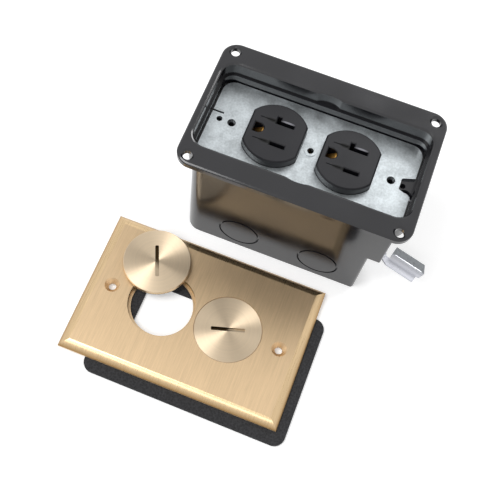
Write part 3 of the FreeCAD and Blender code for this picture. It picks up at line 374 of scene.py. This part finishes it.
def outlet_black(name, base, top):
    """The receptacle's black face, with a dished guide running into each blade slot.

    Each guide is painted shade, a dark oval beside its slot, and the far edge of the upper slot
    has a painted highlight, a light grey patch.
    top is the height of the face."""
    finish = Finish(name, IOR=1.42)
    # Painted shade: a dark oval for each dished guide beside its slot.
    painted_guide_shades, edges = [], []
    for outlet in (-OUTLET_STEP / 2, OUTLET_STEP / 2):
        for across in (-BLADE_GAUGE / 2, BLADE_GAUGE / 2):
            painted_guide_shades.append(finish.patch((outlet - GUIDE_OFFSET, across, 0), GUIDE_HALF, 0.55))
        # Painted highlight: a lighter patch on the far edge of each upper slot.
        edge = (outlet + HIGHLIGHT_OFFSET[0], BLADE_GAUGE / 2 + HIGHLIGHT_OFFSET[1], 0)
        edges.append(finish.patch(edge, HIGHLIGHT_HALF, 0.6))
    # The painted highlight is kept to just below the face's top.
    near = finish.spread(finish.height(), 0.0, 1.0, top - 0.6 * MM, top - 0.4 * MM)
    painted_highlight = finish.product(finish.sum(*edges), near)
    dress_black(finish, base, 0.36, 3400.0, 0.015 * MM, finish.sum(*painted_guide_shades), painted_highlight)
    return finish.material


def dress(material, *nodes):
    """Gives CAD nodes a finish."""
    for name in nodes:
        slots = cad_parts[name].data.materials
        if not slots:
            slots.append(material)
        for index in range(len(slots)):
            slots[index] = material


def middle(node):
    low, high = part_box(node)
    return (low + high) / 2


# ---------------------------------------------------------------- dressing the solids

BLACK = (0.005, 0.005, 0.007)
ROLLED_BRASS = (0.72, 0.53, 0.31)
TURNED_BRASS = (0.73, 0.59, 0.42)
BOX_BLACK = moulded_black("moulded_black", BLACK, 0.15, 2600.0, 0.012 * MM)
dress(BOX_BLACK, "box_body")
dress(moulded_black("base_black", BLACK, 0.4, 3400.0, 0.02 * MM), "receptacle_base")
dress(outlet_black("device_black", BLACK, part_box("receptacle_face")[1].z), "receptacle_face")
dress(zinc("zinc_strap", (0.52, 0.56, 0.58), 0.34), "mounting_strap", "centre_eyelet")
# The arm's dark back colour is painted shade of its raised back strip.
dress(pressed_zinc("clamp_zinc", (0.6, 0.61, 0.66), (0.19, 0.2, 0.21)), "clamp_arm")
BRIGHT_STEEL = zinc("bright_steel", (0.6, 0.6, 0.62), 0.3)
dress(BRIGHT_STEEL, "clamp_nut", "clamp_screw", "clamp_retainer", "body_rivets", "neutral_screws")
CONTACT_BRASS = spring_brass("contact_brass", (0.95, 0.52, 0.14))
dress(CONTACT_BRASS, "neutral_contact", "hot_contact", "ground_contact")
dress(spring_brass("screw_brass", (0.75, 0.55, 0.28)), "hot_screws")
dress(painted("green_steel", (0.03, 0.3, 0.09)), "ground_screw")
dress(foam("gasket_foam", (0.012, 0.012, 0.013)), "gasket")
dress(foam("seal_rubber", (0.008, 0.008, 0.008)), "plug_left_seal", "plug_right_seal")
PLATE_BRASS = brushed_brass("plate_brass", (0.69, 0.51, 0.315), 0.4, 0.6)
# The cushioned bevel's brass, with a painted dark reflection on its lower lip.
EDGE_BRASS = brushed_brass("edge_brass", ROLLED_BRASS, 0.24, 0.3, 4.9 * MM)
dress(PLATE_BRASS, "cover_plate")
for side, slot_turn in SLOT_TURNS.items():
    node = "plug_" + side
    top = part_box(node)[1].z
    dress(turned_brass(node + "_brass", TURNED_BRASS, middle(node), top, slot_turn), node)

# ---------------------------------------------------------------- pieces


def quads(rows, size, closed=True):
    """The faces of a grid of points whose rows, of size points each, are rings.

    Face (i, k) joins points k and k + 1 of row i to those of row i + 1; with closed, the last row
    joins the first."""
    i, k = np.meshgrid(np.arange(rows if closed else rows - 1), np.arange(size), indexing="ij")
    here, after, beyond = i * size, (i + 1) % rows * size, (k + 1) % size
    return np.stack([here + k, here + beyond, after + beyond, after + k], -1).reshape(-1, 4)


def placed(name, points, faces, body, material):
    """A smooth piece of the scene that rides on a body."""
    mesh = bpy.data.meshes.new(name)
    mesh.from_pydata(points.reshape(-1, 3).tolist(), [], faces)
    mesh.shade_smooth()
    mesh.materials.append(material)
    piece = bpy.data.objects.new(name, mesh)
    bpy.context.scene.collection.objects.link(piece)
    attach(piece, body)
    return mesh


def swept_ring(name, path, profile, body, material, sharp=()):
    """A closed profile carried round a closed path, as one surface.

    Point (i, k) of the surface is path[i] + inward[i] * profile[k].across + up * profile[k].height,
    where inward[i] is the corner's own mitre.  The mitres, and the profile's own sharp points,
    stay crisp."""
    places, inward = (np.array(part, float) for part in path)
    across, height = np.array(profile, float).T
    points = places[:, None, :] + inward[:, None, :] * across[None, :, None]
    points[..., 2] += height[None, :]
    count, size = points.shape[:2]
    mesh = placed(name, points, quads(count, size).tolist(), body, material)
    ends = np.zeros(len(mesh.edges) * 2, int)
    mesh.edges.foreach_get("vertices", ends)
    first, second = ends.reshape(-1, 2).T
    mitre = first // size == second // size
    crease = (first % size == second % size) & np.isin(first % size, list(sharp))
    crisp = mesh.attributes.new("sharp_edge", "BOOLEAN", "EDGE")
    crisp.data.foreach_set("value", mitre | crease)


def plate_cushion():
    """The cover plate's bevel, rounded over: it bulges out from the flat one along all four sides.

    The profile runs from the plate's face to its rim along a chord, raised by the parabola
    4 * bulge * t * (1 - t), and back below the surface."""
    low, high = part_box("cover_plate")
    t = np.linspace(0.0, 1.0, 25)
    arch = 4.0 * BEVEL_BULGE * t * (1.0 - t)
    slope = math.hypot(BEVEL_RUN, BEVEL_FALL)
    across = BEVEL_RUN * (1.0 - t) - arch * BEVEL_FALL / slope
    height = -BEVEL_FALL * t + arch * BEVEL_RUN / slope
    height[0] = 0.006 * MM  # stands clear of the plate's face
    lead = np.array([[BEVEL_RUN + 0.4 * MM, -0.01 * MM], [BEVEL_RUN + 0.2 * MM, 0.004 * MM]])
    back = np.array([[0.3 * MM, -BEVEL_FALL - 0.1 * MM], [BEVEL_RUN, -0.6 * MM]])
    profile = np.concatenate([lead, np.column_stack([across, height]), back])
    places = [
        (low.x, low.y, high.z),
        (high.x, low.y, high.z),
        (high.x, high.y, high.z),
        (low.x, high.y, high.z),
    ]
    inward = [(1, 1, 0), (-1, 1, 0), (-1, -1, 0), (1, -1, 0)]
    sharp = (0, len(profile) - 3, len(profile) - 2, len(profile) - 1)
    swept_ring(
        "plate_cushion", (places, inward), profile, "cover_plate", EDGE_BRASS, sharp
    )


def thread(
    name, centre, radius, low, high, depth, pitch, body, material, steps=72, rounds=160
):
    """A screw thread as a sleeve round an upright axis.

    Its worked side stands at radius + depth * w, where w is a triangle wave of
    height / pitch - angle / (2 pi), and dies away at both ends; its other side is plain and lies
    in the wall behind.  A negative depth cuts the thread on the inside of a hole."""
    height = np.linspace(low, high, steps)
    angle = np.arange(rounds) * 2 * math.pi / rounds
    phase = height[None, :] / pitch - angle[:, None] / (2 * math.pi)
    wave = np.abs(2.0 * (phase - np.floor(phase)) - 1.0)
    fade = np.clip(np.minimum(height - low, high - height) / (0.4 * pitch), 0.0, 1.0)
    worked = radius + depth * wave * fade[None, :]
    plain = np.full((rounds, 2), radius - math.copysign(0.2 * MM, depth))
    reach = np.concatenate([worked, plain], 1)
    up = np.concatenate([height, [high, low]])
    points = np.stack(
        [
            centre[0] + reach * np.cos(angle)[:, None],
            centre[1] + reach * np.sin(angle)[:, None],
            np.broadcast_to(up, reach.shape),
        ],
        -1,
    )
    outward = [1, 2, 3, 0] if depth < 0 else [0, 3, 2, 1]
    faces = quads(rounds, steps + 2)[:, outward].tolist()
    placed(name, points, faces, body, material)


def bead(name, start, end, radius, flat, body, material):
    """A straight bead with rounded ends, from start to end.

    Its radius along t in -1..1 is radius * (1 - t ** 8) ** 0.5, and flat squeezes its height."""
    start, end = np.array(start), np.array(end)
    ahead = (end - start) / np.linalg.norm(end - start)
    aside = np.array([-ahead[1], ahead[0], 0.0])
    t = -np.cos(np.linspace(0.0, math.pi, 41))[1:-1]
    ring = np.arange(24) * 2 * math.pi / 24
    size = radius * np.sqrt(1.0 - t**8)
    spine = start + (t[:, None] + 1.0) / 2.0 * (end - start)
    points = (
        spine[:, None, :]
        + size[:, None, None] * np.cos(ring)[None, :, None] * aside
        + size[:, None, None] * flat * np.sin(ring)[None, :, None] * np.array([0.0, 0.0, 1.0])
    )
    rows, sides = points.shape[:2]
    tip, tail, last = rows * sides, rows * sides + 1, (rows - 1) * sides
    around = np.arange(sides)
    beyond = (around + 1) % sides
    faces = quads(rows, sides, closed=False)[:, ::-1].tolist()
    faces += np.stack([np.full(sides, tip), around, beyond], -1)[:, ::-1].tolist()
    faces += np.stack([np.full(sides, tail), last + beyond, last + around], -1)[:, ::-1].tolist()
    points = np.concatenate([points.reshape(-1, 3), [start, end]])
    placed(name, points, faces, body, material)


def on_arm(along, across, height):
    """A place on the clamp arm, from its pivot, in millimetres along, across and above it."""
    cosine, sine = math.cos(ARM_TURN), math.sin(ARM_TURN)
    return (
        ARM_PIVOT[0] + (along * cosine - across * sine) * MM,
        ARM_PIVOT[1] + (along * sine + across * cosine) * MM,
        ARM_PIVOT[2] + height * MM,
    )


def corner_block(name, body, material):
    """An upright block that squares off the rounded corner of the box.

    Its plan runs along the two walls to a small arc at the corner, and back inside the wall along
    a quarter circle about the old corner's middle point."""
    turn = np.linspace(-math.pi / 2, 0.0, 13)
    sweep = np.column_stack([np.cos(turn), np.sin(turn)])
    old, corner = np.array(CORNER_MIDDLE), np.array(CORNER_POINT)
    new = corner - CORNER_ROUND * np.array([1.0, -1.0])
    outer = [[[old[0], corner[1]]], new + CORNER_ROUND * sweep, [[corner[0], old[1]]]]
    plan = np.concatenate([*outer, old + CORNER_DEPTH * sweep[::-1]])
    count = len(plan)
    foot, head = (np.column_stack([plan, np.full(count, z)]) for z in CORNER_HEIGHTS)
    k = np.arange(count)
    after = (k + 1) % count
    walls = np.stack([k, after, after + count, k + count], -1).tolist()
    caps = [k[::-1].tolist(), (k + count).tolist()]
    mesh = placed(name, np.concatenate([foot, head]), walls + caps, body, material)
    mesh.set_sharp_from_angle(angle=math.radians(35))


plate_cushion()
corner_block("cheek_corner", "box", BOX_BLACK)

# Lighter zinc on the arm's beads: the beads are real shape, and their lighter colour is a painted
# highlight.
RIDGE_HIGHLIGHT_ZINC = zinc("ridge_highlight_zinc", (0.74, 0.75, 0.8), 0.32)
for name, ends, radius in (
    ("arm_ridge", ARM_RIDGE, 0.55 * MM),
    ("arm_crease", ARM_CREASE, 0.5 * MM),
):
    start, end = (on_arm(*place) for place in ends)
    bead(name, start, end, radius, BEAD_FLATNESS, "clamp_arm", RIDGE_HIGHLIGHT_ZINC)

THREAD_BRASS = spring_brass("thread_brass", ROLLED_BRASS, 0.3)
low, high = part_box("cover_plate")
thread(
    "hole_thread",
    HOLE_CENTRE,
    HOLE_RADIUS,
    low.z + 1.0 * MM,
    high.z - 0.25 * MM,
    -0.24 * MM,
    PLUG_PITCH,
    "cover_plate",
    THREAD_BRASS,
)
low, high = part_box("plug_left")
thread(
    "plug_left_thread",
    middle("plug_left"),
    PLUG_THREAD_RADIUS,
    low.z + 0.15 * MM,
    high.z - 0.7 * MM,
    0.16 * MM,
    PLUG_PITCH,
    "plug_left",
    THREAD_BRASS,
)
low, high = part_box("clamp_screw")
thread(
    "clamp_screw_thread",
    middle("clamp_screw"),
    SCREW_THREAD_RADIUS,
    low.z + 0.3 * MM,
    high.z - SCREW_PLAIN_LENGTH,
    0.16 * MM,
    SCREW_PITCH,
    "clamp_screw",
    BRIGHT_STEEL,
    steps=520,
    rounds=28,
)

# ---------------------------------------------------------------- floor and light

FLOOR_HALF = 3.0
FLOOR_DROP = 0.02 * MM
FLOOR_COLOUR = (0.9, 0.9, 0.9)
FLOOR_LIFT = (0.34, 0.66)
FLOOR_LIFT_AT = (0.35, 1.1)
SKY_LIGHT, SKY_SEEN = 0.38, 1.0
LIGHT_AIM = (0, -0.05, 0)


def seen_directly(tree):
    """1 for rays from the camera, mirrors and glass, and 0 for light that falls on the object."""
    path = tree.nodes.new("ShaderNodeLightPath")
    total = path.outputs["Is Camera Ray"]
    for name in ("Is Glossy Ray", "Is Transmission Ray"):
        add = tree.nodes.new("ShaderNodeMath")
        add.operation = "ADD"
        add.use_clamp = True
        tree.links.new(total, add.inputs[0])
        tree.links.new(path.outputs[name], add.inputs[1])
        total = add.outputs[0]
    return total


def make_floor():
    """A wide flat floor that looks white and still takes the object's shadow.

    The lift makes up for the light that falls off with the distance from the object."""
    mesh = bpy.data.meshes.new("floor")
    size = FLOOR_HALF
    mesh.from_pydata(
        [(-size, -size, 0), (size, -size, 0), (size, size, 0), (-size, size, 0)], [], [(0, 1, 2, 3)]
    )
    floor = bpy.data.objects.new("floor", mesh)
    bpy.context.scene.collection.objects.link(floor)
    floor.location.z = -FLOOR_DROP
    paper = Finish("floor_paper", Roughness=0.9, Specular_IOR_Level=0.0)
    paper.shader.inputs["Base Color"].default_value = colour(*FLOOR_COLOUR)
    paper.shader.inputs["Emission Color"].default_value = colour(1.0, 1.0, 1.0)
    far = paper.add("VectorMath", {0: paper.object_space}, operation="LENGTH").outputs["Value"]
    lift = paper.product(
        seen_directly(paper.tree), paper.spread(far, *FLOOR_LIFT, *FLOOR_LIFT_AT)
    )
    paper.drive("Emission Strength", lift)
    mesh.materials.append(paper.material)


def softbox(name, place, size, power):
    """An oblong soft lamp that faces the object."""
    lamp = bpy.data.lights.new(name, "AREA")
    lamp.shape = "RECTANGLE"
    lamp.size, lamp.size_y = size
    lamp.energy = power
    made = bpy.data.objects.new(name, lamp)
    bpy.context.scene.collection.objects.link(made)
    made.location = place
    made.rotation_mode = "QUATERNION"
    made.rotation_quaternion = (Vector(LIGHT_AIM) - Vector(place)).to_track_quat("-Z", "Y")


def make_sky():
    """An even pale surround that looks white where it is seen."""
    world = bpy.data.worlds.new("surround")
    bpy.context.scene.world = world
    world.use_nodes = True
    tree = world.node_tree
    backdrop = tree.nodes["Background"]
    mix = tree.nodes.new("ShaderNodeMapRange")
    tree.links.new(seen_directly(tree), mix.inputs[0])
    mix.inputs["To Min"].default_value = SKY_LIGHT
    mix.inputs["To Max"].default_value = SKY_SEEN
    tree.links.new(mix.outputs[0], backdrop.inputs["Strength"])
    backdrop.inputs["Color"].default_value = colour(1.0, 1.0, 1.0)


bpy.context.scene.view_settings.view_transform = "Standard"
make_floor()
make_sky()
softbox("back_right", (0.34, 0.84, 0.72), (0.7, 0.4), 6.4)
softbox("front_left", (-0.5, -0.3, 1.0), (0.5, 0.6), 6.0)
softbox("front", (0.0, -0.8, 1.0), (0.9, 0.2), 1.8)
